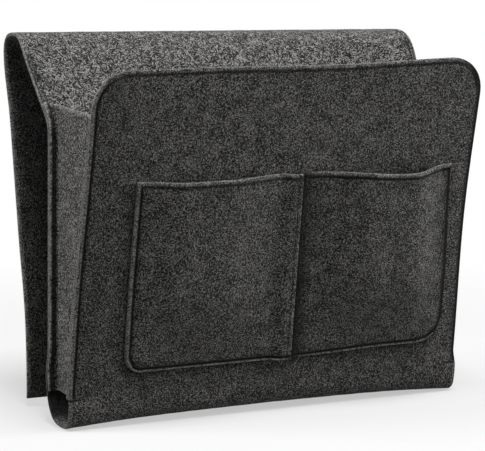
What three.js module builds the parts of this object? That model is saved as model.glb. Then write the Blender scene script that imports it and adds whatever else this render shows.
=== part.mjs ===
// A felt caddy for the side of a bed: an open pouch with two pockets sewn on its front, and a
// flap that goes under the mattress and carries it.
// Sizes are in millimetres and angles in degrees. X runs along the bed, Y points to the bed and
// Z points up. Heights are measured from the underside of the pouch. At the end the caddy is
// set down so that the middle of its flat back is at the origin.
import * as THREE from 'three';

// Felt, thread and clearances
const feltThickness = 3;
const threadWidth = 0.9;
const threadThickness = 0.6;
const stitchMargin = 3.5;
const seatGap = 0.3;
const hingeGap = 0.9;

// Pouch
const footWidth = 326;
const mouthWidth = 317;
const footDepth = 41;
const frontLength = 272;
const frontLean = 11.7;
const frontCornerRadius = 28;
const frontFoot = 11;
const backFoot = 22;
const backBendReach = 20;
const frontBendReach = 7;
const backFaceHeight = 120;

// Fold over the top of the bed side
const slopeFootHeight = 221;
const slopeFootReach = 7;
const shoulderRun = 1;
const slopeRise = 61;
const slopeReach = 52.5;
const crestDepth = 30.5;
const crestDrop = 2.5;
const crestFrontReach = 10;
const crestBackReach = 14;
const crestTurnDrop = 23.5;
const crestTurnReach = 1.5;

// Flap that hangs behind the pouch
const flapSetForward = 40;
const flapKneeHeight = 78;
const flapKneeReach = 26;
const flapFoot = 3;

// Side gussets
const gussetRise = 16;
const gussetFoot = 23;
const gussetFlange = 7;
const gussetBendReach = 3;

// Front pockets
const pocketDivider = 13.5;
const leftFootMargin = 41.3;
const leftMouthMargin = 38.9;
const rightFootMargin = 14.8;
const rightMouthMargin = 17.4;
const pocketLap = 8;
const pocketFoot = 40;
const pocketTop = 189;
const leftPocketRadius = 14;
const rightPocketRadius = 22;
const sewnBorder = 6;
const pocketSideRise = 26;
const pocketFootRise = 42;
const leftPocketBulge = 9;
const rightPocketBulge = 12;
const rightMouthDip = 4;
const lapRise = 10;

// Stitching
const tackHeight = 21.5;
const tackLength = 6;
const threadEndGap = 1;

// How finely curves are divided
const bendSteps = 6;
const cornerSteps = 6;
const edgeSteps = 10;
const rowGather = 1.4;

const feltColour = '#3b3b3c';
const threadColour = '#161617';

// Sizes that follow from these
const leanSin = Math.sin(THREE.MathUtils.degToRad(frontLean));
const leanCos = Math.cos(THREE.MathUtils.degToRad(frontLean));
const backCentre = -feltThickness / 2;
const shoulderHeight = slopeFootHeight - slopeFootReach - shoulderRun;
const gussetTop = slopeFootHeight + gussetRise;
const crestFront = backCentre + slopeReach;
const crestFrontHeight = slopeFootHeight + slopeRise;
const crestBack = crestFront + crestDepth;
const crestBackHeight = crestFrontHeight - crestDrop;
const hingeSetback = crestBack - crestTurnReach;
const hingeHeight = crestBackHeight - crestTurnDrop;
const flapStandOff = hingeSetback - flapSetForward;

function halfWidth(height) {
  const share = THREE.MathUtils.clamp(height / (frontLength * leanCos), 0, 1);
  return THREE.MathUtils.lerp(footWidth, mouthWidth, share) / 2;
}

// A place on the leaning front: along it from the foot, and out from its outer face
function onFront(x, along, out) {
  const y = -footDepth - along * leanSin - out * leanCos;
  return new THREE.Vector3(x, y, along * leanCos - out * leanSin);
}

// Rises from 0 to 1 without a kink
function ease(share) {
  return THREE.MathUtils.smoothstep(share, 0, 1);
}

// A closed body between two grids of points with the same rows and columns
function closedSheet(outer, inner) {
  const rows = outer.length;
  const columns = outer[0].length;
  const points = [...outer.flat(), ...inner.flat()];
  const other = rows * columns;
  const triangles = [];
  const quad = (a, b, c, d) => triangles.push([a, b, c], [a, c, d]);
  for (let i = 0; i + 1 < rows; i += 1) {
    for (let j = 0; j + 1 < columns; j += 1) {
      const a = i * columns + j;
      const c = a + columns;
      quad(a, a + 1, c + 1, c);
      quad(other + a, other + c, other + c + 1, other + a + 1);
    }
  }
  for (let j = 0; j + 1 < columns; j += 1) {
    const last = (rows - 1) * columns + j;
    quad(j, other + j, other + j + 1, j + 1);
    quad(last, last + 1, other + last + 1, other + last);
  }
  for (let i = 0; i + 1 < rows; i += 1) {
    const a = i * columns;
    const b = a + columns - 1;
    quad(a, a + columns, other + a + columns, other + a);
    quad(b, other + b, other + b + columns, b + columns);
  }
  const volume = triangles.reduce((sum, [a, b, c]) => {
    const normal = points[b].clone().cross(points[c]);
    return sum + points[a].dot(normal);
  }, 0);
  const facing = volume > 0 ? triangles : triangles.map(([a, b, c]) => [a, c, b]);
  const geometry = new THREE.BufferGeometry();
  geometry.setFromPoints(points);
  geometry.setIndex(facing.flat());
  geometry.computeVertexNormals();
  return geometry;
}

// A line through corners, each given as two places and how far its bend reaches
function bentLine(corners) {
  const points = [];
  corners.forEach(([a, b, reach], i) => {
    const corner = new THREE.Vector2(a, b);
    if (!reach) {
      points.push(corner);
      return;
    }
    const before = new THREE.Vector2(corners[i - 1][0], corners[i - 1][1]);
    const after = new THREE.Vector2(corners[i + 1][0], corners[i + 1][1]);
    const start = corner.clone().lerp(before, reach / corner.distanceTo(before));
    const end = corner.clone().lerp(after, reach / corner.distanceTo(after));
    points.push(...new THREE.QuadraticBezierCurve(start, corner, end).getPoints(bendSteps));
  });
  return points;
}

// The same line moved sideways by an even distance
function besideLine(points, distance) {
  const across = (from, to) => {
    const run = to.clone().sub(from).normalize();
    return new THREE.Vector2(-run.y, run.x);
  };
  return points.map((point, i) => {
    const into = across(points[Math.max(i - 1, 0)], points[Math.max(i, 1)]);
    const last = points.length - 1;
    const outOf = across(points[Math.min(i, last - 1)], points[Math.min(i + 1, last)]);
    const mitre = into.clone().add(outOf).normalize();
    return point.clone().addScaledVector(mitre, distance / mitre.dot(into));
  });
}

// Felt bent along a line of Y and Z, the full width of the caddy
function bentFelt(line) {
  const face = (distance) =>
    besideLine(line, distance).map(({ x: y, y: z }, i) => {
      const half = halfWidth(line[i].y);
      return [new THREE.Vector3(-half, y, z), new THREE.Vector3(half, y, z)];
    });
  return closedSheet(face(feltThickness / 2), face(-feltThickness / 2));
}

// Where a line of Y and Z stands at a height
function acrossAt(line, height) {
  const i = line.findIndex((point, k) => k > 0 && point.y >= height);
  const below = line[i - 1];
  const share = (height - below.y) / (line[i].y - below.y);
  return THREE.MathUtils.lerp(below.x, line[i].x, share);
}

// One thread laid on a surface along a flat path of X and distance up the surface
function threadOn(surface, path) {
  const left = besideLine(path, threadWidth / 2);
  const right = besideLine(path, -threadWidth / 2);
  const face = (out) =>
    path.map((point, i) => [
      surface(left[i].x, left[i].y, out),
      surface(right[i].x, right[i].y, out),
    ]);
  return closedSheet(face(seatGap + threadThickness), face(seatGap));
}

// Points of a quarter circle about a centre, turning from one angle to another
function arcPoints(x, y, radius, from, to) {
  const points = [];
  for (let i = 0; i <= cornerSteps; i += 1) {
    const angle = THREE.MathUtils.lerp(from, to, i / cornerSteps);
    points.push(new THREE.Vector2(x + radius * Math.cos(angle), y + radius * Math.sin(angle)));
  }
  return points;
}

// Evenly divided straight line between two places
function straightPoints(fromX, fromY, toX, toY, steps) {
  const from = new THREE.Vector2(fromX, fromY);
  const to = new THREE.Vector2(toX, toY);
  return Array.from({ length: steps + 1 }, (_, i) => from.clone().lerp(to, i / steps));
}

const caddy = new THREE.Group();
caddy.position.z = -backFaceHeight;

const feltMaterial = () =>
  new THREE.MeshStandardMaterial({ color: feltColour, roughness: 0.95, metalness: 0 });
const threadMaterial = () =>
  new THREE.MeshStandardMaterial({ color: threadColour, roughness: 0.7, metalness: 0 });

function addPiece(name, geometry, material) {
  const mesh = new THREE.Mesh(geometry, material);
  mesh.name = name;
  caddy.add(mesh);
}

// Front panel with rounded top corners
function frontPanelGeometry() {
  const half = mouthWidth / 2;
  const centre = half - frontCornerRadius;
  const rightArc = arcPoints(
    centre, frontLength - frontCornerRadius, frontCornerRadius, Math.PI / 2, 0);
  const leftArc = rightArc.map((point) => new THREE.Vector2(-point.x, point.y)).reverse();
  const top = [...leftArc, ...rightArc];
  const face = (out) => [
    top.map((point) => onFront((point.x / half) * halfWidth(frontFoot), frontFoot, out)),
    top.map((point) => {
      const width = halfWidth(point.y * leanCos) / half;
      return onFront(point.x * width, point.y, out);
    }),
  ];
  return closedSheet(face(0), face(-feltThickness));
}
addPiece('front_panel', frontPanelGeometry(), feltMaterial());

// Bottom fold, where the front and the back are one turned sheet
const frontFootCentre = onFront(0, frontFoot - seatGap, -feltThickness / 2);
const bottomLine = bentLine([
  [backCentre, backFoot - seatGap],
  [backCentre, feltThickness / 2, backBendReach],
  [onFront(0, 0, -feltThickness / 2).y, feltThickness / 2, frontBendReach],
  [frontFootCentre.y, frontFootCentre.z],
]);
addPiece('bottom_fold', bentFelt(bottomLine), feltMaterial());

// Flat back, the fold that slopes back to the crest, and the turn down behind the crest
addPiece('back_panel', bentFelt(bentLine([
  [backCentre, backFoot],
  [backCentre, shoulderHeight],
])), feltMaterial());
const crestPlace = (share) => [
  THREE.MathUtils.lerp(crestFront, crestBack, share),
  THREE.MathUtils.lerp(crestFrontHeight, crestBackHeight, share),
];
const foldLine = bentLine([
  [backCentre, shoulderHeight + seatGap],
  [backCentre, slopeFootHeight, slopeFootReach],
  [crestFront, crestFrontHeight, crestFrontReach],
  crestPlace((crestFrontReach + seatGap) / crestDepth),
]);
addPiece('top_fold', bentFelt(foldLine), feltMaterial());
addPiece('rear_fold', bentFelt(bentLine([
  crestPlace((crestFrontReach + seatGap + seatGap) / crestDepth),
  [crestBack, crestBackHeight, crestBackReach],
  [hingeSetback, hingeHeight],
])), feltMaterial());

// Flap, hung from the end of the fold
const flapLine = bentLine([
  [hingeSetback, hingeHeight - hingeGap],
  [flapStandOff, flapKneeHeight, flapKneeReach],
  [flapStandOff, flapFoot],
]);
addPiece('mattress_flap', bentFelt(flapLine), feltMaterial());

// Gussets: a wall with a flange turned out to each panel, wider at the mouth than at the foot
const flangeTop = shoulderHeight - feltThickness;
const foldFace = besideLine(foldLine, feltThickness / 2);
function backFace(height) {
  return height > foldFace[0].y ? acrossAt(foldFace, height) : -feltThickness;
}
function slopeStretch(height) {
  const step = feltThickness;
  const rise = backFace(height + step) - backFace(height);
  return Math.hypot(rise, step) / step;
}
function gussetGeometry(side) {
  const flangeOffset = seatGap + feltThickness / 2;
  const heights = [gussetFoot, flangeTop];
  for (let i = 1; i <= bendSteps; i += 1) {
    heights.push(THREE.MathUtils.lerp(flangeTop, gussetTop, i / bendSteps));
  }
  const lines = heights.map((height) => {
    const edge = side * halfWidth(height);
    const wall = edge - side * gussetFlange;
    const front = -footDepth - (height * leanSin) / leanCos
      + (feltThickness + flangeOffset) / leanCos;
    const back = backFace(height) - flangeOffset * slopeStretch(height);
    return bentLine([
      [edge, front],
      [wall, front, gussetBendReach],
      [wall, back, gussetBendReach],
      [edge, back],
    ]);
  });
  const face = (distance) => lines.map((line, i) =>
    besideLine(line, distance).map(({ x, y }) => new THREE.Vector3(x, y, heights[i])));
  return closedSheet(face(feltThickness / 2), face(-feltThickness / 2));
}
addPiece('left_gusset', gussetGeometry(-1), feltMaterial());
addPiece('right_gusset', gussetGeometry(1), feltMaterial());

// Pockets: sewn flat at the sides and foot, standing off the front between the seams
function pocketSide(footMargin, mouthMargin) {
  const foot = halfWidth(pocketFoot * leanCos) - footMargin;
  const mouth = halfWidth(pocketTop * leanCos) - mouthMargin;
  return (along) =>
    THREE.MathUtils.mapLinear(along, pocketFoot, pocketTop, foot, mouth);
}
const pocketLeftSide = pocketSide(leftFootMargin, leftMouthMargin);
const pocketRightSide = pocketSide(rightFootMargin, rightMouthMargin);
const lapStart = pocketDivider - pocketLap - lapRise;
const lapEnd = pocketDivider - pocketLap - seatGap;
const leftPocket = {
  left: (along) => -pocketLeftSide(along),
  right: () => pocketDivider,
  mouth: () => pocketTop,
  radius: leftPocketRadius,
  roundSide: -1,
  bulge: leftPocketBulge,
  lift: (x) => (feltThickness + seatGap) * ease((x - lapStart) / (lapEnd - lapStart)),
};
const rightPocket = {
  left: () => pocketDivider - pocketLap,
  right: pocketRightSide,
  mouth: (x) => {
    const share = (x - pocketDivider) / (pocketRightSide(pocketFoot) - pocketDivider);
    return pocketTop - rightMouthDip * Math.sin(Math.PI * THREE.MathUtils.clamp(share, 0, 1));
  },
  radius: rightPocketRadius,
  roundSide: 1,
  bulge: rightPocketBulge,
  lift: () => 0,
};

// How far a pocket's inner face stands off the front panel
function pocketStandOff(pocket, x, along) {
  const fromLeft = x - pocket.left(along) - sewnBorder;
  const freeLeft = pocket.roundSide > 0 ? fromLeft - pocketLap : fromLeft;
  const fromRight = pocket.right(along) - sewnBorder - x;
  const freeRight = pocket.roundSide < 0 ? fromRight - pocketLap : fromRight;
  const across = ease(freeLeft / pocketSideRise) * ease(freeRight / pocketSideRise);
  const up = ease((along - pocketFoot - sewnBorder) / pocketFootRise);
  return seatGap + pocket.lift(x) + pocket.bulge * across * up;
}
function onPocket(pocket) {
  return (x, along, out) =>
    onFront(x, along, pocketStandOff(pocket, x, along) + feltThickness + out);
}

// Outline of a pocket's foot from its left to its right edge, set in from the raw edge
function pocketFootLine(pocket, inset) {
  const radius = pocket.radius - inset;
  const foot = pocketFoot + inset;
  const left = pocket.left(foot) + inset;
  const right = pocket.right(foot) - inset;
  if (pocket.roundSide < 0) {
    const arc = arcPoints(left + radius, foot + radius, radius, Math.PI, Math.PI * 1.5);
    return [
      ...arc,
      ...straightPoints(left + radius, foot, lapStart, foot, edgeSteps).slice(1),
      ...straightPoints(lapStart, foot, lapEnd, foot, bendSteps).slice(1),
      new THREE.Vector2(right, foot),
    ];
  }
  const arc = arcPoints(right - radius, foot + radius, radius, -Math.PI / 2, 0);
  return [...straightPoints(left, foot, right - radius, foot, edgeSteps), ...arc.slice(1)];
}

// Where a column of the pocket that starts at a place on its foot stands further up
function columnAt(pocket, footX, along) {
  const widthAt = (height) => pocket.right(height) - pocket.left(height);
  const share = (footX - pocket.left(pocketFoot)) / widthAt(pocketFoot);
  return pocket.left(along) + share * widthAt(along);
}
function pocketGeometry(pocket) {
  const foot = pocketFootLine(pocket, 0);
  const rowShares = Array.from({ length: edgeSteps + 1 }, (_, i) => (i / edgeSteps) ** rowGather);
  const face = (out) => rowShares.map((share) => foot.map((point) => {
    const mouth = pocket.mouth(columnAt(pocket, point.x, pocketTop));
    const along = THREE.MathUtils.lerp(point.y, mouth, share);
    const x = columnAt(pocket, point.x, along);
    return onFront(x, along, pocketStandOff(pocket, x, along) + out);
  }));
  return closedSheet(face(feltThickness), face(0));
}
addPiece('left_pocket', pocketGeometry(leftPocket), feltMaterial());
addPiece('right_pocket', pocketGeometry(rightPocket), feltMaterial());

// The line sewn round the front panel: up one gusset seam, along the mouth and down the other
function frontSeamPath() {
  const start = tackHeight + threadEndGap;
  const radius = frontCornerRadius - stitchMargin;
  const centreX = mouthWidth / 2 - frontCornerRadius;
  const centreY = frontLength - frontCornerRadius;
  const side = halfWidth(start * leanCos) - stitchMargin;
  const right = [
    ...arcPoints(centreX, centreY, radius, Math.PI / 2, 0),
    new THREE.Vector2(side, start),
  ];
  const left = right.map((point) => new THREE.Vector2(-point.x, point.y)).reverse();
  return [...left, ...right];
}
addPiece('front_seam_thread', threadOn(onFront, frontSeamPath()), threadMaterial());

// A short bar of stitches ends each gusset seam above the open foot
for (const [name, side] of [['left_bar_tack', -1], ['right_bar_tack', 1]]) {
  const outside = side * (halfWidth(tackHeight) - threadEndGap);
  const inside = outside - side * tackLength;
  const path = straightPoints(outside, tackHeight, inside, tackHeight, 1);
  addPiece(name, threadOn(onFront, path), threadMaterial());
}

// Seams of the back: along each gusset flange, then up the edge of the slope to the crest
const flangeFace = (x, height, out) =>
  new THREE.Vector3(x, -feltThickness - seatGap - feltThickness - out, height);
const slopeFoot = gussetTop + feltThickness;
const slopeTop = crestFrontHeight - crestFrontReach;
const slopeOut = new THREE.Vector2(-slopeRise, slopeReach).normalize();
const slopeFace = (x, height, out) => new THREE.Vector3(
  x,
  acrossAt(foldFace, height) + out * slopeOut.x,
  height + out * slopeOut.y,
);
for (const [word, side] of [['left', -1], ['right', 1]]) {
  const flangeX = (height) => side * (halfWidth(height) - stitchMargin / 2);
  const flangePath = straightPoints(
    flangeX(gussetFoot), gussetFoot + threadEndGap, flangeX(flangeTop), flangeTop, 1);
  addPiece(`${word}_back_seam_thread`, threadOn(flangeFace, flangePath), threadMaterial());
  const slopeX = side * (halfWidth(slopeTop) - stitchMargin);
  const slopePath = straightPoints(slopeX, slopeFoot, slopeX, slopeTop, 1);
  addPiece(`${word}_slope_thread`, threadOn(slopeFace, slopePath), threadMaterial());
}

// Seams of the pockets: round the left one, round the free sides of the right one, and a hem
// along each mouth
function leftPocketSeamPath() {
  const foot = pocketFootLine(leftPocket, stitchMargin);
  const top = pocketTop - threadEndGap;
  const first = foot[0];
  const last = foot[foot.length - 1];
  return [
    ...straightPoints(leftPocket.left(top) + stitchMargin, top, first.x, first.y, edgeSteps),
    ...foot.slice(1),
    ...straightPoints(last.x, last.y, last.x, top, edgeSteps).slice(1),
  ];
}
function rightPocketSeamPath() {
  const start = pocketDivider + threadEndGap;
  const foot = pocketFootLine(rightPocket, stitchMargin).filter((point) => point.x > start);
  const top = pocketTop - stitchMargin;
  const last = foot[foot.length - 1];
  const side = straightPoints(
    last.x, last.y, pocketRightSide(top) - stitchMargin, top, edgeSteps);
  return [new THREE.Vector2(start, pocketFoot + stitchMargin), ...foot, ...side.slice(1)];
}
function hemPath(pocket, from, to) {
  const columns = pocketFootLine(pocket, 0)
    .map((point) => columnAt(pocket, point.x, pocketTop - stitchMargin))
    .filter((x) => x > from && x < to);
  return [from, ...columns, to]
    .map((x) => new THREE.Vector2(x, pocket.mouth(x) - stitchMargin));
}
const hemSetIn = stitchMargin + threadWidth + threadEndGap;
const leftHem = hemPath(
  leftPocket, leftPocket.left(pocketTop) + hemSetIn, pocketDivider - hemSetIn);
const rightHem = hemPath(
  rightPocket, pocketDivider + threadEndGap, pocketRightSide(pocketTop) - hemSetIn);
for (const [name, pocket, path] of [
  ['left_pocket_seam_thread', leftPocket, leftPocketSeamPath()],
  ['right_pocket_seam_thread', rightPocket, rightPocketSeamPath()],
  ['left_pocket_hem_thread', leftPocket, leftHem],
  ['right_pocket_hem_thread', rightPocket, rightHem],
]) {
  addPiece(name, threadOn(onPocket(pocket), path), threadMaterial());
}

export default caddy;
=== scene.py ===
import math

import bpy
import numpy as np
from mathutils import Matrix, Vector, noise


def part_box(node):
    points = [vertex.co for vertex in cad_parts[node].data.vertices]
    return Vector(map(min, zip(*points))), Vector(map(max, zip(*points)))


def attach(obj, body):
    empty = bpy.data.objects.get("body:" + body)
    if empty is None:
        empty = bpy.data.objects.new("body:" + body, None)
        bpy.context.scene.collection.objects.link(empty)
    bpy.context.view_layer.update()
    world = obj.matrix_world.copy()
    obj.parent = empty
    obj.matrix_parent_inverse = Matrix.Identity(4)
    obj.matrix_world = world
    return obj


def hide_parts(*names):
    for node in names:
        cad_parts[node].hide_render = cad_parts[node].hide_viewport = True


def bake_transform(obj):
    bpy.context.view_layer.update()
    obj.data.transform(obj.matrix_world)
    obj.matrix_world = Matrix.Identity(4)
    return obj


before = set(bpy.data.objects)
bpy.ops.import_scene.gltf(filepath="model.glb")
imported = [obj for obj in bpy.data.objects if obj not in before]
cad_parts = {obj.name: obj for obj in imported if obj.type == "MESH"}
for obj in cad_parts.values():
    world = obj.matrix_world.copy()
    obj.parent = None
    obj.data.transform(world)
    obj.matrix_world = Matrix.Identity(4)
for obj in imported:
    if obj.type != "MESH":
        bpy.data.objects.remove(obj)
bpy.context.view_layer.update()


# Long felt sheet: front, foot, back and slope
# One die-cut strip of 3 mm needle felt runs down the front, round the foot and up the back to a
# crest that sits askew. Its edges are raw, and seams press a groove into it inside them.
MM = 0.001
FELT = 3 * MM
FLOOR_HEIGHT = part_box("bottom_fold")[0].z
FOOT_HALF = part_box("bottom_fold")[1].x
FOOT_DEPTH = 41 * MM
FRONT_LEAN = math.radians(11.7)
FRONT_LENGTH = 272 * MM
MOUTH_HALF = 158.5 * MM
MOUTH_RADIUS = 28 * MM
BACK = -FELT / 2
SLOPE_FOOT = 221 * MM
STITCH_MARGIN = 3.5 * MM
SEAM_FOOT = 23 * MM
TACK_UP = 21.5 * MM
POCKET_LEFT = -121 * MM
POCKET_RIGHT = 146.3 * MM
POCKET_FOOT = 40 * MM
POCKET_TOP = 189 * MM

# Grid lines near a raw edge, closest together at the seam's groove
EDGE_STEPS = [d * MM for d in (
    0, 0.2, 0.55, 1.1, 1.8, 2.4, 2.8, 3.1, 3.3, 3.5, 3.7, 3.9, 4.2, 4.7, 5.4, 6.5, 8.5, 11)]
CORNER_STEPS = EDGE_STEPS + [16 * MM, 22 * MM, MOUTH_RADIUS]


def linear(hex_colour):
    """The linear RGBA of an sRGB hex colour."""
    channels = [int(hex_colour[i:i + 2], 16) / 255 for i in (1, 3, 5)]
    return tuple(c / 12.92 if c <= 0.04045 else ((c + 0.055) / 1.055) ** 2.4 for c in channels) + (1,)


def add_node(tree, kind, settings=None, **links):
    """Adds a node with its settings, and gives its inputs values or links, by name or as n0, n1."""
    node = tree.nodes.new(kind)
    for key, value in (settings or {}).items():
        setattr(node, key, value)
    for key, value in links.items():
        socket = node.inputs[int(key[1:]) if key[1:].isdigit() else key.replace("_", " ")]
        if isinstance(value, bpy.types.NodeSocket):
            tree.links.new(value, socket)
        else:
            socket.default_value = value
    return node


def new_material(name):
    material = bpy.data.materials.new(name)
    material.use_nodes = True
    material.node_tree.nodes.clear()
    return material, material.node_tree


# Needle felt of polyester and wool: short pale fibres lie in every direction over a near-black
# ground. It is dull and a little fuzzy, and paler where a cut edge opens the fibres. The fibres
# are about 0.03 mm thick, so they are drawn as strands of about 0.5 mm, which still show. Each
# layer has patches of one direction, 2.4 to 4.6 mm wide, and strands three times as long as wide.
# A mottle with patches of about 11 mm lies under them.
felt_material, tree = new_material("charcoal_needle_felt")
place = add_node(tree, "ShaderNodeAttribute", {"attribute_name": "felt_mm"}).outputs["Vector"]
layers = []
for patch_mm, strand_mm, shift in ((3.3, 0.52, 0.0), (2.4, 0.44, 37.0), (4.6, 0.66, 91.0)):
    moved = add_node(
        tree, "ShaderNodeVectorMath", {"operation": "ADD"}, n0=place, n1=(shift, -shift, shift / 9))
    patch = add_node(tree, "ShaderNodeTexVoronoi", Vector=moved.outputs[0], Scale=1 / patch_mm)
    chance = add_node(tree, "ShaderNodeSeparateColor", Color=patch.outputs["Color"]).outputs[0]
    turn = add_node(tree, "ShaderNodeMath", {"operation": "MULTIPLY"}, n0=chance, n1=math.pi)
    lie = add_node(
        tree, "ShaderNodeVectorRotate", {"rotation_type": "Z_AXIS"}, Vector=moved.outputs[0],
        Angle=turn.outputs[0])
    stretched = add_node(
        tree, "ShaderNodeMapping", Vector=lie.outputs[0],
        Scale=(0.3 / strand_mm, 1 / strand_mm, 1 / strand_mm))
    layers.append(add_node(
        tree, "ShaderNodeTexNoise", Vector=stretched.outputs[0], Scale=1.0, Detail=0.0).outputs["Fac"])
pair = add_node(tree, "ShaderNodeMath", {"operation": "MAXIMUM"}, n0=layers[0], n1=layers[1])
strands = add_node(tree, "ShaderNodeMath", {"operation": "ADD"}, n0=layers[2], n1=pair.outputs[0])
mottle = add_node(tree, "ShaderNodeTexNoise", Vector=place, Scale=0.09, Detail=3.0, Roughness=0.6)
ground = add_node(
    tree, "ShaderNodeMath", {"operation": "MULTIPLY_ADD"}, n0=mottle.outputs["Fac"], n1=0.34,
    n2=strands.outputs[0])
rim = add_node(tree, "ShaderNodeAttribute", {"attribute_name": "rim"}).outputs["Fac"]
shade = add_node(
    tree, "ShaderNodeMath", {"operation": "MULTIPLY_ADD"}, n0=rim, n1=0.1, n2=ground.outputs[0])
spread = add_node(
    tree, "ShaderNodeMapRange", Value=shade.outputs[0], From_Min=1.0, From_Max=1.46)
tones = add_node(tree, "ShaderNodeValToRGB", Fac=spread.outputs[0])
ramp = tones.color_ramp
ramp.elements[0].position = 0.0
ramp.elements[0].color = linear("#060606")
ramp.elements[1].position = 1.0
ramp.elements[1].color = linear("#9e9d9a")
for position, colour in ((0.3, "#1a1a1a"), (0.5, "#333231"), (0.7, "#5f5e5c")):
    ramp.elements.new(position).color = linear(colour)
opened = add_node(tree, "ShaderNodeMath", {"operation": "MULTIPLY"}, n0=rim, n1=0.18)
edged = add_node(
    tree, "ShaderNodeMix", {"data_type": "RGBA"}, n0=opened.outputs[0], n6=tones.outputs[0],
    n7=linear("#6a6966"))
# Painted shade: one attribute darkens the felt towards near-black in and next to the seams' grooves,
# along the pockets, flanges and turned-away margins, and inside the foot and the flap
pressed_and_shaded_in = add_node(tree, "ShaderNodeAttribute", {"attribute_name": "pressed_and_shaded"}).outputs["Fac"]
darkened = add_node(
    tree, "ShaderNodeMix", {"data_type": "RGBA"}, n0=pressed_and_shaded_in, n6=edged.outputs[2],
    n7=linear("#020202"))
bump = add_node(tree, "ShaderNodeBump", Height=strands.outputs[0], Strength=0.6, Distance=0.7 * MM)
surface = add_node(
    tree, "ShaderNodeBsdfPrincipled", Base_Color=darkened.outputs[2], Roughness=0.95, IOR=1.5,
    Specular_IOR_Level=0.12, Sheen_Weight=0.12, Sheen_Roughness=0.5, Normal=bump.outputs[0])
add_node(tree, "ShaderNodeOutputMaterial", Surface=surface.outputs[0])


def bent_line(corners, steps=12):
    """Points of a line through corners given as two places and how far the bend reaches."""
    points = []
    for i, (a, b, reach) in enumerate(corners):
        corner = np.array([a, b])
        if not reach:
            points.append(corner)
            continue
        before = np.array(corners[i - 1][:2]) - corner
        after = np.array(corners[i + 1][:2]) - corner
        start = corner + before * reach / np.linalg.norm(before)
        end = corner + after * reach / np.linalg.norm(after)
        for t in np.linspace(0, 1, steps):
            points.append(start * (1 - t) ** 2 + corner * 2 * t * (1 - t) + end * t ** 2)
    return np.array(points)


class Line:
    """A bent line that is read at a distance along it."""

    def __init__(self, corners):
        self.points = bent_line(corners)
        steps = np.linalg.norm(np.diff(self.points, axis=0), axis=1)
        self.at = np.concatenate([[0], np.cumsum(steps)])
        self.length = self.at[-1]

    def __call__(self, distance):
        return np.array([np.interp(distance, self.at, column) for column in self.points.T])


def graded(length, fine, coarse, low=True, high=True):
    """Distances from 0 to a length that follow the fine steps near the chosen ends."""
    start = list(fine) if low else [0.0]
    end = [length - d for d in reversed(fine)] if high else [length]
    count = max(int(round((end[0] - start[-1]) / coarse)), 1)
    return np.array(start[:-1] + list(np.linspace(start[-1], end[0], count + 1)) + end[1:])


def grid_of(across, along):
    """A grid of pairs of a place across and a place along."""
    return np.stack(np.broadcast_arrays(across[None, :], along[:, None]), 2)


def rise(value, start=0.0, reach=1.0):
    """Goes smoothly from 0 at a start to 1 at a reach past it."""
    share = min(max((value - start) / reach, 0), 1)
    return share * share * (3 - 2 * share)


def hump(value, middle, reach):
    """1 at the middle, falling smoothly to 0 at a reach either side."""
    return rise(1 - abs(value - middle) / reach)


def ridge(distance, middle, width):
    """1 on a narrow line at the middle, with steep sides."""
    return np.exp(-((distance - middle) / width) ** 4)


LEFT_SWELL = 1.4 * MM
LEFT_FOOT_TUCK = 1.3 * MM
RIGHT_WAIST = 3.6 * MM
RIGHT_FOOT_FLARE = 2.6 * MM
BACK_FOOT_FLARE = 1.8 * MM
CREST_SWELL = 1.7 * MM


def half_width(height):
    share = min(max(height / (FRONT_LENGTH * math.cos(FRONT_LEAN)), 0), 1)
    return FOOT_HALF + (MOUTH_HALF - FOOT_HALF) * share


def front_reach(side, height):
    """Half the width of the front, which the gusset draws in at the right and lets out below."""
    if side < 0:
        let_out = LEFT_SWELL * hump(height, middle=105 * MM, reach=110 * MM)
        return half_width(height) + let_out - LEFT_FOOT_TUCK * (1 - rise(height, 16 * MM, 10 * MM))
    drawn_in = RIGHT_WAIST * hump(height, middle=145 * MM, reach=130 * MM)
    let_out = RIGHT_FOOT_FLARE * (1 - rise(height, 18 * MM, 14 * MM))
    return half_width(height) - drawn_in + let_out


def under_crest(height):
    """How far the left end bulges just below the crest."""
    return CREST_SWELL * hump(height, middle=264 * MM, reach=50 * MM)


def back_reach(side, height):
    """Half the width of the back, which flares out at its left foot and below the left crest."""
    flare = BACK_FOOT_FLARE * (1 - rise(height, 30 * MM, 25 * MM))
    return half_width(height) + (flare + under_crest(height)) * (side < 0)


def on_front(x, up, out=0.0):
    """A point on the leaning front: across, up along it from the foot, and out from its face."""
    y = -FOOT_DEPTH - up * math.sin(FRONT_LEAN) - out * math.cos(FRONT_LEAN)
    z = FLOOR_HEIGHT + up * math.cos(FRONT_LEAN) - out * math.sin(FRONT_LEAN)
    return np.array([x, y, z])


def round_corner(from_side, from_top, radius):
    """Turns the lines near a square corner round an arc; takes and gives distances to the edges."""
    if from_side >= radius or from_top >= radius:
        return from_side, from_top
    reach = max(radius - min(from_side, from_top), 1e-9)
    if from_top >= from_side:
        turn = (radius - from_top) / reach * math.pi / 4
    else:
        turn = math.pi / 2 - (radius - from_side) / reach * math.pi / 4
    return radius - reach * math.cos(turn), radius - reach * math.sin(turn)


GROOVE_INSIDE = 1.9 * MM
GROOVE_OUTSIDE = 0.8 * MM
HOLLOW_REACH = 4.2 * MM
HOLLOW_DEPTH_AND_SHADE = 0.55


def seam_depth_and_shade(distance):
    """A seam's sinking and painted shade, from 0 to 1, at a distance from the raw edge."""
    inside = np.maximum(distance - STITCH_MARGIN, 0)
    reach = np.where(distance > STITCH_MARGIN, GROOVE_INSIDE, GROOVE_OUTSIDE)
    hollow_and_shade = HOLLOW_DEPTH_AND_SHADE * np.exp(-inside / HOLLOW_REACH) * (distance >= STITCH_MARGIN)
    return np.maximum(ridge(distance, STITCH_MARGIN, reach), hollow_and_shade)


EDGE_ROUND = 1.5 * MM
RIM_WIDTH = 1.9 * MM
GROOVE_DEPTH = 0.95 * MM
THINNEST_HALF = 0.35 * MM
LUMP_HEIGHT = 0.22 * MM
LUMP_WIDTH = 11 * MM
SMALL_LUMP_WIDTH = 4 * MM


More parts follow.
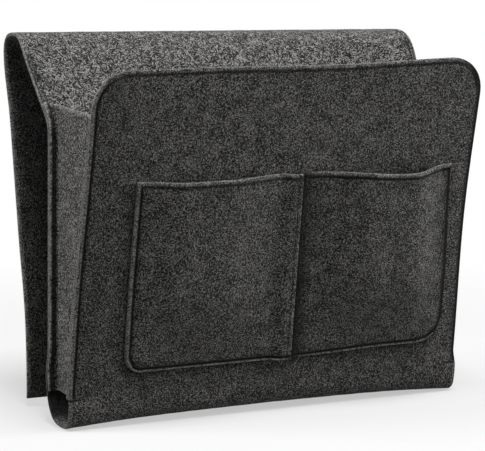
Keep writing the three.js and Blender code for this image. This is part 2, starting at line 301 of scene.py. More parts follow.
def unevenness(a, b):
    """How much higher or lower than even the felt lies at a place on the flat cut."""
    small = noise.noise(Vector((a, b, 3)) / SMALL_LUMP_WIDTH)
    return noise.noise(Vector((a, b, 0)) / LUMP_WIDTH) + 0.5 * small


def felt_sheet(name, points, flat, edge, pressed_and_shaded, joined_row=None, shaded=(0, 0), rim_share=1.0):
    """A closed sheet of felt about a grid of middle points, and the points of its two faces.

    flat holds the grid's places on the flat cut, edge the distance to the raw edge, and the grid
    after it how far seams sink the felt and how much painted shade darkens it there. joined_row is
    a row at which the same strip goes on, shaded how much more painted shade darkens its two faces,
    the one at the normal first, and rim_share how pale its rim is.
    """
    rows, columns = edge.shape
    normal = np.cross(np.gradient(points, axis=1), np.gradient(points, axis=0))
    normal /= np.maximum(np.linalg.norm(normal, axis=2, keepdims=True), 1e-12)
    share = np.clip(edge / EDGE_ROUND, 0, 1)
    half = FELT / 2 * (0.5 + 0.5 * np.sqrt(1 - (1 - share) ** 2))
    lumps = np.array([[unevenness(a, b) for a, b in line] for line in flat])
    lumps = LUMP_HEIGHT * lumps * np.clip(edge / (5 * MM), 0.3, 1)
    sunk = np.maximum(half - GROOVE_DEPTH * pressed_and_shaded, THINNEST_HALF)
    front_face = points + normal * (sunk + lumps)[..., None]
    back_face = points - normal * (sunk - lumps)[..., None]
    other = rows * columns
    index = np.arange(other).reshape(rows, columns)
    a, b, c, d = index[:-1, :-1], index[:-1, 1:], index[1:, 1:], index[1:, :-1]
    faces = [np.stack([a, b, c, d], 2), np.stack([a, d, c, b], 2) + other]
    for line in (index[0], index[-1, ::-1], index[::-1, 0], index[:, -1]):
        faces.append(np.stack([line[:-1], line[:-1] + other, line[1:] + other, line[1:]], 1))
    faces = np.concatenate([quads.reshape(-1, 4) for quads in faces])
    corners = np.concatenate([front_face.reshape(-1, 3), back_face.reshape(-1, 3)])
    mesh = bpy.data.meshes.new(name)
    mesh.from_pydata(corners.tolist(), [], faces.tolist())
    places = np.concatenate([flat.reshape(-1, 2)] * 2) / MM
    depth = np.concatenate([half.reshape(-1), -half.reshape(-1)]) / MM
    grain = mesh.attributes.new("felt_mm", "FLOAT_VECTOR", "POINT")
    grain.data.foreach_set("vector", np.column_stack([places, depth]).astype(np.float32).ravel())
    near = rim_share * np.clip(1.7 - edge / RIM_WIDTH, 0, 1)
    dark = [np.maximum(pressed_and_shaded, face) for face in shaded]
    for label, values in (("rim", (near, near)), ("pressed_and_shaded", dark)):
        layer = mesh.attributes.new(label, "FLOAT", "POINT")
        layer.data.foreach_set("value", np.stack(values).reshape(-1).astype(np.float32))
    mesh.polygons.foreach_set("use_smooth", [True] * len(mesh.polygons))
    if joined_row is not None:
        ring = set(index[joined_row].tolist() + (index[joined_row] + other).tolist())
        for line in mesh.edges:
            line.use_edge_sharp = set(line.vertices) <= ring
    mesh.materials.append(felt_material)
    piece = bpy.data.objects.new(name, mesh)
    bpy.context.scene.collection.objects.link(piece)
    return piece, front_face, back_face


# The strip's middle in Y and Z, with how far each bend reaches, to the crest at either end
front_top = on_front(0, FRONT_LENGTH, -FELT / 2)
front_foot = on_front(0, 0, -FELT / 2)
up_to_slope = [
    (front_top[1], front_top[2], 0),
    (front_foot[1], FLOOR_HEIGHT + FELT / 2, 9 * MM),
    (-21 * MM, FLOOR_HEIGHT + FELT / 2, 9 * MM),
    (-6.5 * MM, FLOOR_HEIGHT + 13 * MM, 7 * MM),
    (BACK, FLOOR_HEIGHT + 32 * MM, 11 * MM),
    (BACK, FLOOR_HEIGHT + SLOPE_FOOT, 9 * MM),
]
crest_left = [(63 * MM, FLOOR_HEIGHT + 284 * MM), (93.5 * MM, FLOOR_HEIGHT + 281.5 * MM)]
crest_right = [(20 * MM, FLOOR_HEIGHT + 279.5 * MM), (69 * MM, FLOOR_HEIGHT + 276.5 * MM)]


def split_point(front, back, share):
    """The place on the crest at which the strip goes on as the flap's sheet."""
    return (front[0] + (back[0] - front[0]) * share, front[1] + (back[1] - front[1]) * share)


split_left = split_point(*crest_left, 0.35)
split_right = split_point(*crest_right, 0.6)
strip_left = Line(up_to_slope + [(*crest_left[0], 10 * MM), (*split_left, 0)])
strip_right = Line(up_to_slope + [(*crest_right[0], 24 * MM), (*split_right, 0)])
shoulder = np.interp(
    FLOOR_HEIGHT + SLOPE_FOOT - 10 * MM,
    strip_left.points[-30:, 1], strip_left.at[-30:])


def on_strip(share, down):
    """The strip's middle in Y and Z at a share of its width and a distance down from the mouth."""
    left = strip_left(down)
    if down <= shoulder:
        return left
    stretch = (strip_right.length - shoulder) / (strip_left.length - shoulder)
    right = strip_right(shoulder + (down - shoulder) * stretch)
    return left + (right - left) * share


MOUTH_SAG = 1.7 * MM
FOOT_LIFT = 0.9 * MM
FOOT_DIP = 3.4 * MM
TACK_AT = FRONT_LENGTH - TACK_UP
TACK_WIDTH = 0.8 * MM
TACK_REACH = 9 * MM
SEAM_BLEND = 16 * MM
ROLLED_EDGE_SHADE = 1.1 * MM
POCKET_SHADE = 0.55
POCKET_SHADE_REACH = 3.4 * MM
LEFT_SHADE = 0.34
LEFT_SHADE_REACH = 36 * MM
SLOPE_GROOVE = (1.8 * MM, 0.6 * MM)
SLOPE_HOLLOW = (4.7 * MM, 0.9 * MM)


def strip_drop(x, height, down):
    """How far the strip sags: at the mouth right of its middle, and at the foot near its ends."""
    mouth_sag = MOUTH_SAG * hump(x, middle=32 * MM, reach=105 * MM) * hump(down, 0, 60 * MM)
    lift = FOOT_LIFT * hump(x, middle=0, reach=150 * MM) * hump(height, 0, 14 * MM)
    dip = FOOT_DIP * (x / FOOT_HALF) ** 4 * hump(height, 0, 30 * MM)
    return mouth_sag - lift + dip


def pocket_side_shade(x, up):
    """Painted shade, with a slight sinking, on the front by the pockets' sides and foot, 0 to 1."""
    across = max(POCKET_LEFT - x, (x - POCKET_RIGHT + 8 * MM) * 3, 0)
    away = math.hypot(across, max(POCKET_FOOT - up, 0))
    return math.exp(-away / POCKET_SHADE_REACH) * rise(POCKET_TOP - up, reach=12 * MM)


def front_marks(side, from_side, down, x, height):
    """How much the front sinks and has painted shade at a place, and how pale its rim is there."""
    at_mouth = rise(0.5 + (from_side - down) / SEAM_BLEND)
    drawn = seam_depth_and_shade(min(from_side, down)) * (1 - 0.42 * at_mouth)
    margin = 0
    if side > 0:
        # The right margin is rolled back over the gusset's flange, which hides the seam below; it is
        # thinned there, and painted shade darkens it
        margin = rise(STITCH_MARGIN - min(from_side, down), reach=ROLLED_EDGE_SHADE)
        if from_side < down:
            drawn *= 1 - 0.85 * rise(down, 16 * MM, 24 * MM)
        else:
            margin *= rise(1 - from_side / MOUTH_RADIUS)
    beside_shade = POCKET_SHADE * pocket_side_shade(x, height / math.cos(FRONT_LEAN))
    # Painted shade over the front's left part, fading away from its left seam
    if side < 0 and from_side > STITCH_MARGIN:
        beside_shade = max(beside_shade, LEFT_SHADE * math.exp(-from_side / LEFT_SHADE_REACH))
    return max(drawn, margin, beside_shade), 1 - 0.6 * at_mouth


def back_marks(from_side, y, height):
    """How much the back and slope sink and have painted shade, up to a little over the crest."""
    if height < SEAM_FOOT or not -8 * MM < y < 58 * MM:
        return 0
    drawn = seam_depth_and_shade(from_side)
    if height > SLOPE_FOOT + 8 * MM:
        drawn = 0.95 * ridge(from_side, *SLOPE_GROOVE)
        drawn = max(drawn, 0.6 * ridge(from_side, *SLOPE_HOLLOW))
    return drawn * (1 - rise(y, 40 * MM, 18 * MM))


def strip_marks(side, from_side, down, x, y, height):
    """How much the strip sinks and has painted shade at a place, and how pale its rim is there."""
    if down < TACK_AT - 1 * MM:
        return front_marks(side, from_side, down, x, height)
    if down < TACK_AT + 1.4 * MM:
        return math.exp(-((down - TACK_AT) / TACK_WIDTH) ** 2) * (from_side < TACK_REACH), 1
    return back_marks(from_side, y, height), 1


across = graded(2 * FOOT_HALF, CORNER_STEPS, 6 * MM)
from_end = np.minimum(across, 2 * FOOT_HALF - across)
down_strip = graded(strip_left.length, CORNER_STEPS, 3.5 * MM, high=False)
down_strip = down_strip[abs(down_strip - TACK_AT) > 2 * MM]
tack_steps = TACK_AT + np.array([-1.4, -0.8, -0.4, 0, 0.4, 0.8, 1.4]) * MM
down_strip = np.sort(np.concatenate([down_strip, tack_steps]))
points = np.empty((len(down_strip), len(across), 3))
pressed_and_shaded = np.empty(points.shape[:2])
rim_share = np.empty(points.shape[:2])
for i, down in enumerate(down_strip):
    for j, a in enumerate(across):
        side = -1 if a < FOOT_HALF else 1
        placed_side, placed_down = round_corner(from_end[j], down, MOUTH_RADIUS)
        y, z = on_strip(a / 2 / FOOT_HALF, placed_down)
        height = z - FLOOR_HEIGHT
        to_front = rise(-y, 14 * MM, 20 * MM)
        reach = front_reach(side, height) * to_front + back_reach(side, height) * (1 - to_front)
        x = side * reach * (1 - placed_side / FOOT_HALF)
        points[i, j] = (x, y, z - strip_drop(x, height, down))
        pressed_and_shaded[i, j], rim_share[i, j] = strip_marks(side, from_end[j], down, x, y, height)
# Painted shade on the inside face low in the pouch, lifted near the floor at the foot's open ends
above_floor = points[..., 2] - FLOOR_HEIGHT
light_at_end = np.clip(1.3 - from_end / (14 * MM), 0, 1) * np.clip(0.8 - above_floor / (4 * MM), 0, 1)
foot_shade = 0.92 * np.clip((60 * MM - above_floor) / (30 * MM), 0, 1) * (1 - 0.7 * light_at_end)
strip, strip_inside, strip_outside = felt_sheet(
    "pouch_sheet", points, grid_of(across, down_strip), np.minimum(from_end, down_strip[:, None]),
    pressed_and_shaded, joined_row=-1, shaded=(foot_shade, 0), rim_share=rim_share)
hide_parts("front_panel", "bottom_fold", "back_panel", "top_fold")
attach(strip, "pouch")


# Long felt sheet: rear of the crest and the mattress flap
# The same strip turns down behind the crest and hangs free as the flap that is laid under the
# mattress. It bends at the rear of the crest.
FLAP_TUCK = 2.6 * MM
FLAP_SHADE = 0.4
FLAP_RIM = 2.4 * MM

flap_left = Line([
    (*split_left, 0),
    (*crest_left[1], 14 * MM),
    (92 * MM, FLOOR_HEIGHT + 258 * MM, 10 * MM),
    (52.5 * MM, FLOOR_HEIGHT + 78 * MM, 26 * MM),
    (52.5 * MM, FLOOR_HEIGHT + 3 * MM, 0),
])
flap_right = Line([
    (*split_right, 0),
    (*crest_right[1], 14 * MM),
    (67.5 * MM, FLOOR_HEIGHT + 253 * MM, 10 * MM),
    (41 * MM, FLOOR_HEIGHT + 78 * MM, 26 * MM),
    (41 * MM, FLOOR_HEIGHT + 3 * MM, 0),
])
down_flap = graded(flap_left.length, EDGE_STEPS, 3.5 * MM, low=False)
points = np.empty((len(down_flap), len(across), 3))
for i, down in enumerate(down_flap):
    left, right = flap_left(down), flap_right(down / flap_left.length * flap_right.length)
    for j, a in enumerate(across):
        share = a / 2 / FOOT_HALF
        y, z = left + (right - left) * share
        height = z - FLOOR_HEIGHT
        tuck = FLAP_TUCK * (1 - rise(height, 10 * MM, 120 * MM))
        reach = half_width(height) + (under_crest(height) - tuck) * (share < 0.5)
        points[i, j] = ((2 * share - 1) * reach, y, z)
from_foot = (flap_left.length - down_flap)[:, None]
edge = np.minimum(from_end, from_foot)
# Painted shade on the face towards the pouch, but for its raw edges and just below the crest,
# and darker along its foot
flap_shade = np.clip(down_flap / (40 * MM) - 0.4, 0, FLAP_SHADE)[:, None]
flap_shade = flap_shade * np.clip((edge - FLAP_RIM) / (1 * MM), 0, 1)
flap_shade = np.maximum(flap_shade, 0.8 * np.exp(-from_foot / (4 * MM)))
flap, *_ = felt_sheet(
    "flap_sheet", points, grid_of(across, strip_left.length + down_flap), edge,
    np.zeros_like(edge), joined_row=0, shaded=(0, flap_shade))
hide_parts("rear_fold", "mattress_flap")
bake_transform(flap)


# Side gussets
# A tapered strip of the same felt at each side, folded out along both long edges into narrow
# flanges that are sewn flat to the front and the back. It ends a little above the foot.
SEAT = 0.3 * MM
GUSSET_TOP = 235.5 * MM
GUSSET_FOOT = SEAM_FOOT - 2 * MM
GUSSET_FLANGE = 7 * MM
GUSSET_BEND = 3.2 * MM
FLANGE_GRID = 10 * MM
TOP_SAG = 1.8 * MM
FLANGE_SHADE = 0.88
BACK_RUN = 330 * MM

# Where the gussets' grain is read, away from the strip's, and how much coarser it is
GRAIN_START = 0.8
GRAIN_STEP = 0.2
GRAIN_ACROSS = 0.55
GRAIN_UP = 0.8


def back_face(share):
    """The front face of the back and slope in Y and Z, at a share of the strip's width."""
    downs = np.linspace(strip_left.length - BACK_RUN, strip_left.length, 200)
    places = np.array([on_strip(share, down) for down in downs])
    slant = np.gradient(places, axis=0)
    slant /= np.linalg.norm(slant, axis=1, keepdims=True)
    return places + np.stack([-slant[:, 1], slant[:, 0]], 1) * (FELT / 2)


def gusset_line(side, height, face):
    """The gusset's middle at a height, in distance from the middle and Y, from front to back."""
    wall = half_width(height) - GUSSET_FLANGE
    front = -FOOT_DEPTH - height * math.tan(FRONT_LEAN) + (1.5 * FELT + SEAT) / math.cos(FRONT_LEAN)
    behind, behind_above = np.interp(
        [FLOOR_HEIGHT + height, FLOOR_HEIGHT + height + FELT], face[:, 1], face[:, 0])
    steep = math.hypot(behind_above - behind, FELT) / FELT
    back = behind - (FELT / 2 + SEAT) * steep
    return Line([
        (front_reach(side, height), front, 0),
        (wall, front, GUSSET_BEND),
        (wall, back, GUSSET_BEND),
        (back_reach(side, height), back, 0),
    ])


def along_gusset(a, longest, length):
    """A distance along the longest line, taken to a shorter one whose flanges are as wide."""
    if a > longest - FLANGE_GRID:
        return length - (longest - a)
    if a > FLANGE_GRID:
        wall_share = (a - FLANGE_GRID) / (longest - 2 * FLANGE_GRID)
        return FLANGE_GRID + wall_share * (length - 2 * FLANGE_GRID)
    return a


def flange_shadow(from_back, below_top):
    """The back flange lies in shadow behind its raw edge, but for its upper end."""
    band = rise(from_back, 1 * MM, 0.6 * MM) * rise(5.4 * MM - from_back, reach=0.9 * MM)
    return FLANGE_SHADE * band * rise(below_top, reach=14 * MM)


gusset_outside = {}
for word, side in (("left", -1), ("right", 1)):
    heights = graded(GUSSET_TOP - GUSSET_FOOT, EDGE_STEPS, 4 * MM) + GUSSET_FOOT
    face = back_face(0 if side < 0 else 1)
    lines = [gusset_line(side, height, face) for height in heights]
    longest = max(line.length for line in lines)
    near = [d for d in EDGE_STEPS if d < 8 * MM] + [8 * MM, FLANGE_GRID]
    round_wall = graded(longest, near, 3 * MM)
    points = np.empty((len(heights), len(round_wall), 3))
    flat = np.empty((*points.shape[:2], 2))
    edge = np.empty(points.shape[:2])
    pressed_and_shaded = np.empty(points.shape[:2])
    for i, (height, line) in enumerate(zip(heights, lines)):
        below_top = heights[-1] - height
        for j, a in enumerate(round_wall):
            d = along_gusset(a, longest, line.length)
            x, y = line(d)
            sag = TOP_SAG * rise(1 - d / line.length) * rise(height, 200 * MM, 35 * MM)
            from_side = min(d, line.length - d)
            points[i, j] = (side * x, y, FLOOR_HEIGHT + height - sag)
            flat[i, j] = (GRAIN_START + side * GRAIN_STEP + GRAIN_ACROSS * d, GRAIN_UP * height)
            edge[i, j] = min(from_side, height - heights[0], below_top)
            pressed_and_shaded[i, j] = max(
                min(seam_depth_and_shade(from_side), FLANGE_SHADE), flange_shadow(line.length - d, below_top))
    grids = [points, flat, edge, pressed_and_shaded]
    if side > 0:
        grids = [grid[:, ::-1] for grid in grids]
    gusset, _, gusset_outside[word] = felt_sheet(f"{word}_gusset_sheet", *grids)
    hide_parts(f"{word}_gusset")
    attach(gusset, "pouch")


# Front pockets
# Two felt rectangles with one round corner each are sewn on the front along their sides and
# foot. The right edge of the left one laps over the right one, and both stand open a little.
POCKET_DIVIDER = 13.5 * MM
POCKET_TALL = POCKET_TOP - POCKET_FOOT
POCKET_TAPER = 5.5 * MM
POCKET_BOW = 2.3 * MM
POCKET_LAP = 8 * MM
SEWN_BORDER = 6 * MM
DIVIDER_SHIFT = 0.9 * MM
DIVIDER_TAPER = 3.4 * MM
LEFT_BULGE = 7.5 * MM
RIGHT_BULGE = 11 * MM
LEFT_RADIUS = 14 * MM
RIGHT_RADIUS = 22 * MM
POCKET_MOUTH_SAG = 2.6 * MM
POCKET_FOOT_RISE = 2.2 * MM
POCKET_GRAIN_START = 1.5
LAP_SHADE_REACH = 42 * MM


def pocket_right(up):
    bow = POCKET_BOW * hump(up, middle=112 * MM, reach=80 * MM)
    return POCKET_RIGHT + bow - POCKET_TAPER * (up - POCKET_FOOT) / POCKET_TALL


def divider(up):
    """The right edge of the left pocket, which leans a little less than the front's sides."""
    return POCKET_DIVIDER + DIVIDER_SHIFT - DIVIDER_TAPER * (up - POCKET_FOOT) / POCKET_TALL


def bulge(x, up, left, right, left_reach, right_reach):
    """How far a pocket stands off between its seams, from 0 to 1."""
    sides = rise(x, left, left_reach) * rise(right - x, reach=right_reach)
    return sides * rise(up, POCKET_FOOT + SEWN_BORDER, 58 * MM)


def left_stand_off(x, up):
    lap_start = POCKET_DIVIDER - POCKET_LAP - 10 * MM
    lap_end = POCKET_DIVIDER - POCKET_LAP - SEAT
    lift = (FELT + SEAT) * rise(x, lap_start, lap_end - lap_start)
    left, right = POCKET_LEFT + SEWN_BORDER, POCKET_DIVIDER - SEWN_BORDER - POCKET_LAP
    return SEAT + lift + LEFT_BULGE * bulge(x, up, left, right, 30 * MM, 52 * MM)


def right_stand_off(x, up):
    left, right = POCKET_DIVIDER + SEWN_BORDER, pocket_right(up) - SEWN_BORDER
    return SEAT + RIGHT_BULGE * bulge(x, up, left, right, 55 * MM, 30 * MM)


def pocket_drop(x, share):
    """How far the right pocket sags at its mouth or, below 0, is drawn up at its foot."""
    sag = POCKET_MOUTH_SAG * hump(x, middle=98 * MM, reach=46 * MM) * rise(share)
    drawn_up = POCKET_FOOT_RISE * rise(x, 25 * MM, 75 * MM) * (1 - share)
    return sag - drawn_up


def pocket_grids(left, right, radius, round_side, stand_off):
    """Grids of a pocket: its points, flat places, edge, seams and painted shade, and rim paleness."""
    width = right(POCKET_FOOT) - left
    near = [d for d in EDGE_STEPS if d < radius] + [radius]
    across = graded(width, near, 3 * MM)
    up_pocket = graded(POCKET_TALL, near, 3 * MM)[::-1]
    down = POCKET_TALL - up_pocket
    from_round = across if round_side < 0 else width - across
    points = np.empty((len(up_pocket), len(across), 3))
    for i, u in enumerate(up_pocket):
        for j in range(len(across)):
            placed_side, above_foot = round_corner(from_round[j], u, radius)
            share = (placed_side if round_side < 0 else width - placed_side) / width
            up = POCKET_FOOT + above_foot
            x = left + share * (right(up) - left)
            placed_up = up - pocket_drop(x, u / POCKET_TALL)
            points[i, j] = on_front(x, placed_up, stand_off(x, up) + FELT / 2)
            height = up * math.cos(FRONT_LEAN)
            points[i, j, 0] *= front_reach(1 if x > 0 else -1, height) / half_width(height)
    flat = grid_of(POCKET_GRAIN_START + left + across, up_pocket)
    edge = np.minimum(np.minimum(across, width - across), np.minimum(up_pocket, down)[:, None])
    # The seam runs nearer the edge along the foot than along the mouth
    ends = np.minimum(up_pocket + 1.2 * MM, down)[:, None]
    at_mouth = np.array([[rise(0.5 + (s - d) / (8 * MM)) for s in from_round] for d in down])
    rim_share = 1 - 0.35 * at_mouth
    if round_side < 0:
        pressed_and_shaded = seam_depth_and_shade(np.minimum(across, ends)) * (1 - 0.45 * at_mouth)
        pressed_and_shaded = np.maximum(pressed_and_shaded, 0.2 * seam_depth_and_shade(width - across))
        rim_share = rim_share * np.clip((width - across) / (6 * MM), 0.4, 1)
    else:
        # The right margin is rolled under, so its seam lies at the edge; painted shade darkens that
        # margin, and painted shadow from the lap darkens the left
        pressed_and_shaded = seam_depth_and_shade(np.minimum(from_round + 2 * MM, ends)) * (1 - 0.15 * at_mouth)
        rolled_margin_shade = np.clip((1.5 * MM - from_round) / (0.5 * MM), 0, 1)
        rolled_margin_shade = rolled_margin_shade * np.clip(ends / (10 * MM) - 0.5, 0, 1)
        beyond = points[..., 0] - np.array([divider(POCKET_FOOT + u) for u in up_pocket])[:, None]
        lap_shadow = np.clip(1.5 - beyond / (5 * MM), 0, 0.95)
        shaded = 0.4 * (1 - np.clip(beyond / LAP_SHADE_REACH, 0, 1)) ** 1.5
        pressed_and_shaded = np.maximum(np.maximum(pressed_and_shaded, rolled_margin_shade), np.maximum(lap_shadow, shaded))
    return points, flat, edge, pressed_and_shaded, rim_share


left_grids = pocket_grids(POCKET_LEFT, divider, LEFT_RADIUS, -1, left_stand_off)
right_grids = pocket_grids(
    POCKET_DIVIDER - POCKET_LAP, pocket_right, RIGHT_RADIUS, 1, right_stand_off)
pocket_outside = {}
for node, grids in (("left_pocket", left_grids), ("right_pocket", right_grids)):
    *shape, rim_share = grids
    pocket, _, pocket_outside[node] = felt_sheet(f"{node}_sheet", *shape, rim_share=rim_share)
    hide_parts(node)
    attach(pocket, "pouch")
    flat = grids[1]
    width = float(flat[0, -1, 0] - flat[0, 0, 0])


# Stitching
# Rows of lockstitch in black spun polyester thread, 3.6 mm to a stitch, pulled down into the
# felt so that only short dark dashes show. A dense bar of stitches ends each side seam.
STITCH_PITCH = 3.6 * MM
STITCH_LENGTH = 3 * MM
SLOPE_STITCH_LENGTH = 2.1 * MM
TACK_PITCH = 0.8 * MM
TACK_LENGTH = 1.3 * MM
THREAD_WIDTH = 0.7 * MM
TWIST = 0.6 * MM

# Spun polyester thread: two plies twisted about 1 mm to the turn, black with a slight lustre. It
# is about 0.4 mm thick and is drawn 0.7 mm wide, so that it shows.
thread_material, tree = new_material("spun_polyester_thread")
place = add_node(tree, "ShaderNodeTexCoord").outputs["Object"]
twist = add_node(
    tree, "ShaderNodeTexNoise", Vector=place, Scale=1 / TWIST, Detail=2.0, Roughness=0.6)
tones = add_node(tree, "ShaderNodeValToRGB", Fac=twist.outputs["Fac"])
tones.color_ramp.elements[0].position = 0.3
tones.color_ramp.elements[0].color = linear("#060606")
tones.color_ramp.elements[1].position = 0.7
tones.color_ramp.elements[1].color = linear("#1d1d1c")
ply = add_node(
    tree, "ShaderNodeBump", Height=twist.outputs["Fac"], Strength=0.5, Distance=0.2 * MM)
surface = add_node(
    tree, "ShaderNodeBsdfPrincipled", Base_Color=tones.outputs[0], Roughness=0.6, IOR=1.5,
    Specular_IOR_Level=0.2, Sheen_Weight=0.04, Normal=ply.outputs[0])
add_node(tree, "ShaderNodeOutputMaterial", Surface=surface.outputs[0])

stitch_row = bpy.data.node_groups.new("lockstitch_row", "GeometryNodeTree")
stitch_row.is_modifier = True
sockets = {}
for label, kind in (
    ("Seam", "NodeSocketGeometry"), ("Pitch", "NodeSocketFloat"), ("Stitch Length", "NodeSocketFloat"),
    ("Thread Width", "NodeSocketFloat"), ("Thread", "NodeSocketMaterial"),
):
    sockets[label] = stitch_row.interface.new_socket(label, in_out="INPUT", socket_type=kind).identifier
stitch_row.interface.new_socket("Stitches", in_out="OUTPUT", socket_type="NodeSocketGeometry")
given = add_node(stitch_row, "NodeGroupInput").outputs
seam = add_node(stitch_row, "GeometryNodeMeshToCurve", Mesh=given["Seam"])
spots = add_node(
    stitch_row, "GeometryNodeResampleCurve", {"mode": "LENGTH"}, Curve=seam.outputs[0],
    Length=given["Pitch"])
bead = add_node(stitch_row, "GeometryNodeMeshUVSphere", Segments=6, Rings=5, Radius=0.5)
size = add_node(
    stitch_row, "ShaderNodeCombineXYZ", X=given["Thread Width"], Y=given["Thread Width"],
    Z=given["Stitch Length"])
stitch = add_node(
    stitch_row, "GeometryNodeTransform", Geometry=bead.outputs["Mesh"], Scale=size.outputs[0])
along = add_node(stitch_row, "GeometryNodeInputTangent")
lay = add_node(
    stitch_row, "FunctionNodeAlignRotationToVector", {"axis": "Z"}, Vector=along.outputs[0])
uneven = add_node(
    stitch_row, "FunctionNodeRandomValue", {"data_type": "FLOAT_VECTOR"},
    n0=(0.85, 0.85, 0.82), n1=(1.1, 1.1, 1.0), Seed=7)
placed = add_node(
    stitch_row, "GeometryNodeInstanceOnPoints", Points=spots.outputs[0], Instance=stitch.outputs[0],
    Rotation=lay.outputs[0], Scale=uneven.outputs[0])
solid = add_node(stitch_row, "GeometryNodeRealizeInstances", Geometry=placed.outputs[0])
smooth = add_node(stitch_row, "GeometryNodeSetShadeSmooth", Geometry=solid.outputs[0])
dyed = add_node(
    stitch_row, "GeometryNodeSetMaterial", Geometry=smooth.outputs[0], Material=given["Thread"])
add_node(stitch_row, "NodeGroupOutput", Stitches=dyed.outputs[0])


def sew(name, node, path, pitch=STITCH_PITCH, length=STITCH_LENGTH):
    """Sews a row of stitches along points on a felt face, in place of a thread of the frame."""
    mesh = bpy.data.meshes.new(name)
    mesh.from_pydata([tuple(p) for p in path], [(i, i + 1) for i in range(len(path) - 1)], [])
    row = bpy.data.objects.new(name, mesh)
    bpy.context.scene.collection.objects.link(row)
    sewing = row.modifiers.new("sewing", "NODES")
    sewing.node_group = stitch_row
    sewing[sockets["Pitch"]] = pitch
    sewing[sockets["Stitch Length"]] = length
    sewing[sockets["Thread Width"]] = THREAD_WIDTH
    sewing[sockets["Thread"]] = thread_material
    sewn = row.evaluated_get(bpy.context.evaluated_depsgraph_get())
    row.data = bpy.data.meshes.new_from_object(sewn)
    row.modifiers.clear()
    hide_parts(node)
    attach(row, "pouch")


def between(path, axis, low, high):
    """The points of a path whose place along an axis lies between two values."""
    return path[(path[:, axis] > low) & (path[:, axis] < high)]


# The seams follow grid lines of the felt: this one from a raw edge, and its mirror from the other
LINE = EDGE_STEPS.index(STITCH_MARGIN)
FAR_LINE = -LINE - 1
tack_row = int(np.argmin(abs(down_strip - TACK_AT)))
sew("front_seam_stitches", "front_seam_thread", np.concatenate([
    strip_outside[tack_row - 4:LINE:-1, LINE], strip_outside[LINE, LINE:FAR_LINE],
    strip_outside[LINE:tack_row - 3, FAR_LINE]]))
for word, columns in (("left", slice(3, LINE + 7)), ("right", slice(FAR_LINE - 6, -3))):
    sew(f"{word}_bar_tack_stitches", f"{word}_bar_tack", strip_outside[tack_row, columns],
        TACK_PITCH, TACK_LENGTH)
for word, flange_line, slope_line, crest in (
    ("left", FAR_LINE, LINE + 3, 46 * MM), ("right", LINE, FAR_LINE - 3, 24 * MM),
):
    flange = between(
        gusset_outside[word][:, flange_line], 2, FLOOR_HEIGHT + 25 * MM, FLOOR_HEIGHT + 210 * MM)
    sew(f"{word}_back_seam_stitches", f"{word}_back_seam_thread", flange)
    slope = between(strip_inside[:, slope_line], 2, FLOOR_HEIGHT + 240 * MM, math.inf)
    sew(f"{word}_slope_stitches", f"{word}_slope_thread", between(slope, 1, -10 * MM, crest),
        length=SLOPE_STITCH_LENGTH)
left_face, right_face = pocket_outside["left_pocket"], pocket_outside["right_pocket"]
sew("left_pocket_stitches", "left_pocket_seam_thread", np.concatenate([
    left_face[4:FAR_LINE, LINE], left_face[FAR_LINE, LINE:FAR_LINE],
    left_face[FAR_LINE:3:-1, FAR_LINE]]))
open_from = int(np.argmax(right_face[FAR_LINE, :, 0] > POCKET_DIVIDER + 1 * MM))
sew("right_pocket_stitches", "right_pocket_seam_thread", np.concatenate([
    right_face[FAR_LINE, open_from:FAR_LINE], right_face[FAR_LINE:LINE:-1, FAR_LINE]]))
sew("left_pocket_hem_stitches", "left_pocket_hem_thread", left_face[LINE, LINE + 5:FAR_LINE - 4])
sew("right_pocket_hem_stitches", "right_pocket_hem_thread",
    right_face[LINE, open_from:FAR_LINE - 4])


# Floor and backdrop, studio light and camera
# Matt pale paper that fades to white, a large soft lamp overhead, one at the left and a weak
# one that grazes the front from the right, and a long lens on a stand.
FLOOR_HALF = 4.0
FLOOR_GAP = 0.4 * MM
AMBIENT = 0.14
WHITE = (1, 1, 1, 1)


def shown_ray(tree):
    """1 on the rays that show the background: those of the camera, of gloss and through glass."""
    ray = add_node(tree, "ShaderNodeLightPath").outputs
    seen = add_node(
        tree, "ShaderNodeMath", {"operation": "MAXIMUM"}, n0=ray["Is Camera Ray"],
        n1=ray["Is Glossy Ray"])
    return add_node(
        tree, "ShaderNodeMath", {"operation": "MAXIMUM"}, n0=seen.outputs[0],
        n1=ray["Is Transmission Ray"]).outputs[0]


# Matt paper: an even, pale diffuse surface that lets the soft shadow show and fades to white
paper_material, tree = new_material("matt_paper")
place = add_node(tree, "ShaderNodeTexCoord").outputs["Object"]
shown = shown_ray(tree)
tone = add_node(
    tree, "ShaderNodeMix", {"data_type": "RGBA"}, n0=shown, n6=linear("#7c7c7c"),
    n7=linear("#e2e2e2"))
paper = add_node(tree, "ShaderNodeBsdfDiffuse", Color=tone.outputs[2])
away = add_node(tree, "ShaderNodeVectorMath", {"operation": "LENGTH"}, n0=place)
fade = add_node(
    tree, "ShaderNodeMapRange", {"interpolation_type": "SMOOTHSTEP"}, Value=away.outputs["Value"],
    From_Min=0.28, From_Max=0.75, To_Min=0.5)
faded = add_node(tree, "ShaderNodeMath", {"operation": "MULTIPLY"}, n0=fade.outputs[0], n1=shown)
white = add_node(tree, "ShaderNodeEmission", Color=WHITE, Strength=1.0)
surface = add_node(
    tree, "ShaderNodeMixShader", n0=faded.outputs[0], n1=paper.outputs[0], n2=white.outputs[0])
add_node(tree, "ShaderNodeOutputMaterial", Surface=surface.outputs[0])
floor_mesh = bpy.data.meshes.new("paper_floor")
floor_mesh.from_pydata([
    (-FLOOR_HALF, -FLOOR_HALF, 0), (FLOOR_HALF, -FLOOR_HALF, 0),
    (FLOOR_HALF, FLOOR_HALF, 0), (-FLOOR_HALF, FLOOR_HALF, 0)], [], [(0, 1, 2, 3)])
floor_mesh.materials.append(paper_material)
floor = bpy.data.objects.new("paper_floor", floor_mesh)
floor.location = (0, 0, FLOOR_HEIGHT - FOOT_DIP - FLOOR_GAP)
bpy.context.scene.collection.objects.link(floor)

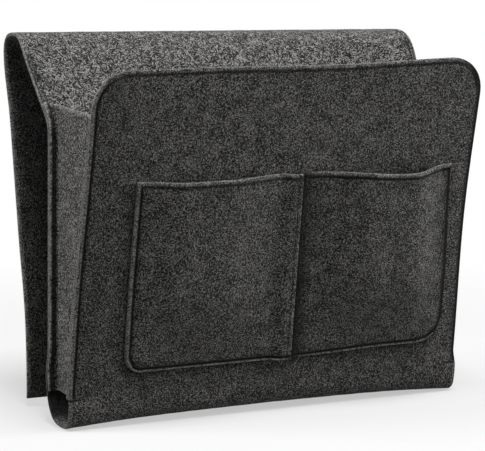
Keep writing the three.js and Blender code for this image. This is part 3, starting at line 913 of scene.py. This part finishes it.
world = bpy.data.worlds.new("studio")
bpy.context.scene.world = world
world.use_nodes = True
tree = world.node_tree
tree.nodes.clear()
ambient = add_node(tree, "ShaderNodeBackground", Color=WHITE, Strength=AMBIENT)
backdrop = add_node(tree, "ShaderNodeBackground", Color=WHITE, Strength=1.0)
either = add_node(
    tree, "ShaderNodeMixShader", n0=shown_ray(tree), n1=ambient.outputs[0], n2=backdrop.outputs[0])
add_node(tree, "ShaderNodeOutputWorld", Surface=either.outputs[0])

for name, turn_deg, climb_deg, distance, width, watts in (
    ("soft_lamp_overhead", 5, 70, 2.6, 1.0, 56),
    ("soft_lamp_left", 101, 35, 2.4, 0.8, 25),
    ("soft_lamp_right", -68, 18, 1.5, 0.6, 10),
):
    lamp_data = bpy.data.lights.new(name, "AREA")
    lamp_data.size = width
    lamp_data.energy = watts
    lamp = bpy.data.objects.new(name, lamp_data)
    turn, climb = math.radians(turn_deg), math.radians(climb_deg)
    lamp.location = distance * Vector((
        -math.sin(turn) * math.cos(climb), -math.cos(turn) * math.cos(climb), math.sin(climb)))
    lamp.rotation_euler = (-lamp.location).to_track_quat("-Z", "Y").to_euler()
    bpy.context.scene.collection.objects.link(lamp)

CAMERA_PLACE = (-752.65 * MM, -1613.51 * MM, 282.09 * MM)
CAMERA_TURN = math.radians(25)
CAMERA_DIP = math.radians(8.54)
CAMERA_ROLL = math.radians(-0.15)
FOCAL_PIXELS = 2325.5
PHOTO_WIDTH = 485
look = Vector((
    math.sin(CAMERA_TURN) * math.cos(CAMERA_DIP), math.cos(CAMERA_TURN) * math.cos(CAMERA_DIP),
    -math.sin(CAMERA_DIP)))
level = Vector((math.cos(CAMERA_TURN), -math.sin(CAMERA_TURN), 0))
right = level * math.cos(CAMERA_ROLL) + level.cross(look) * math.sin(CAMERA_ROLL)
camera_data = bpy.data.cameras.new("camera")
camera_data.lens = FOCAL_PIXELS * camera_data.sensor_width / PHOTO_WIDTH
camera = bpy.data.objects.new("camera", camera_data)
camera.location = CAMERA_PLACE
camera.rotation_euler = Matrix((right, right.cross(look), -look)).transposed().to_euler()
bpy.context.scene.collection.objects.link(camera)
bpy.context.scene.camera = camera
bpy.context.scene.view_settings.view_transform = "Standard"

bpy.context.view_layer.update()
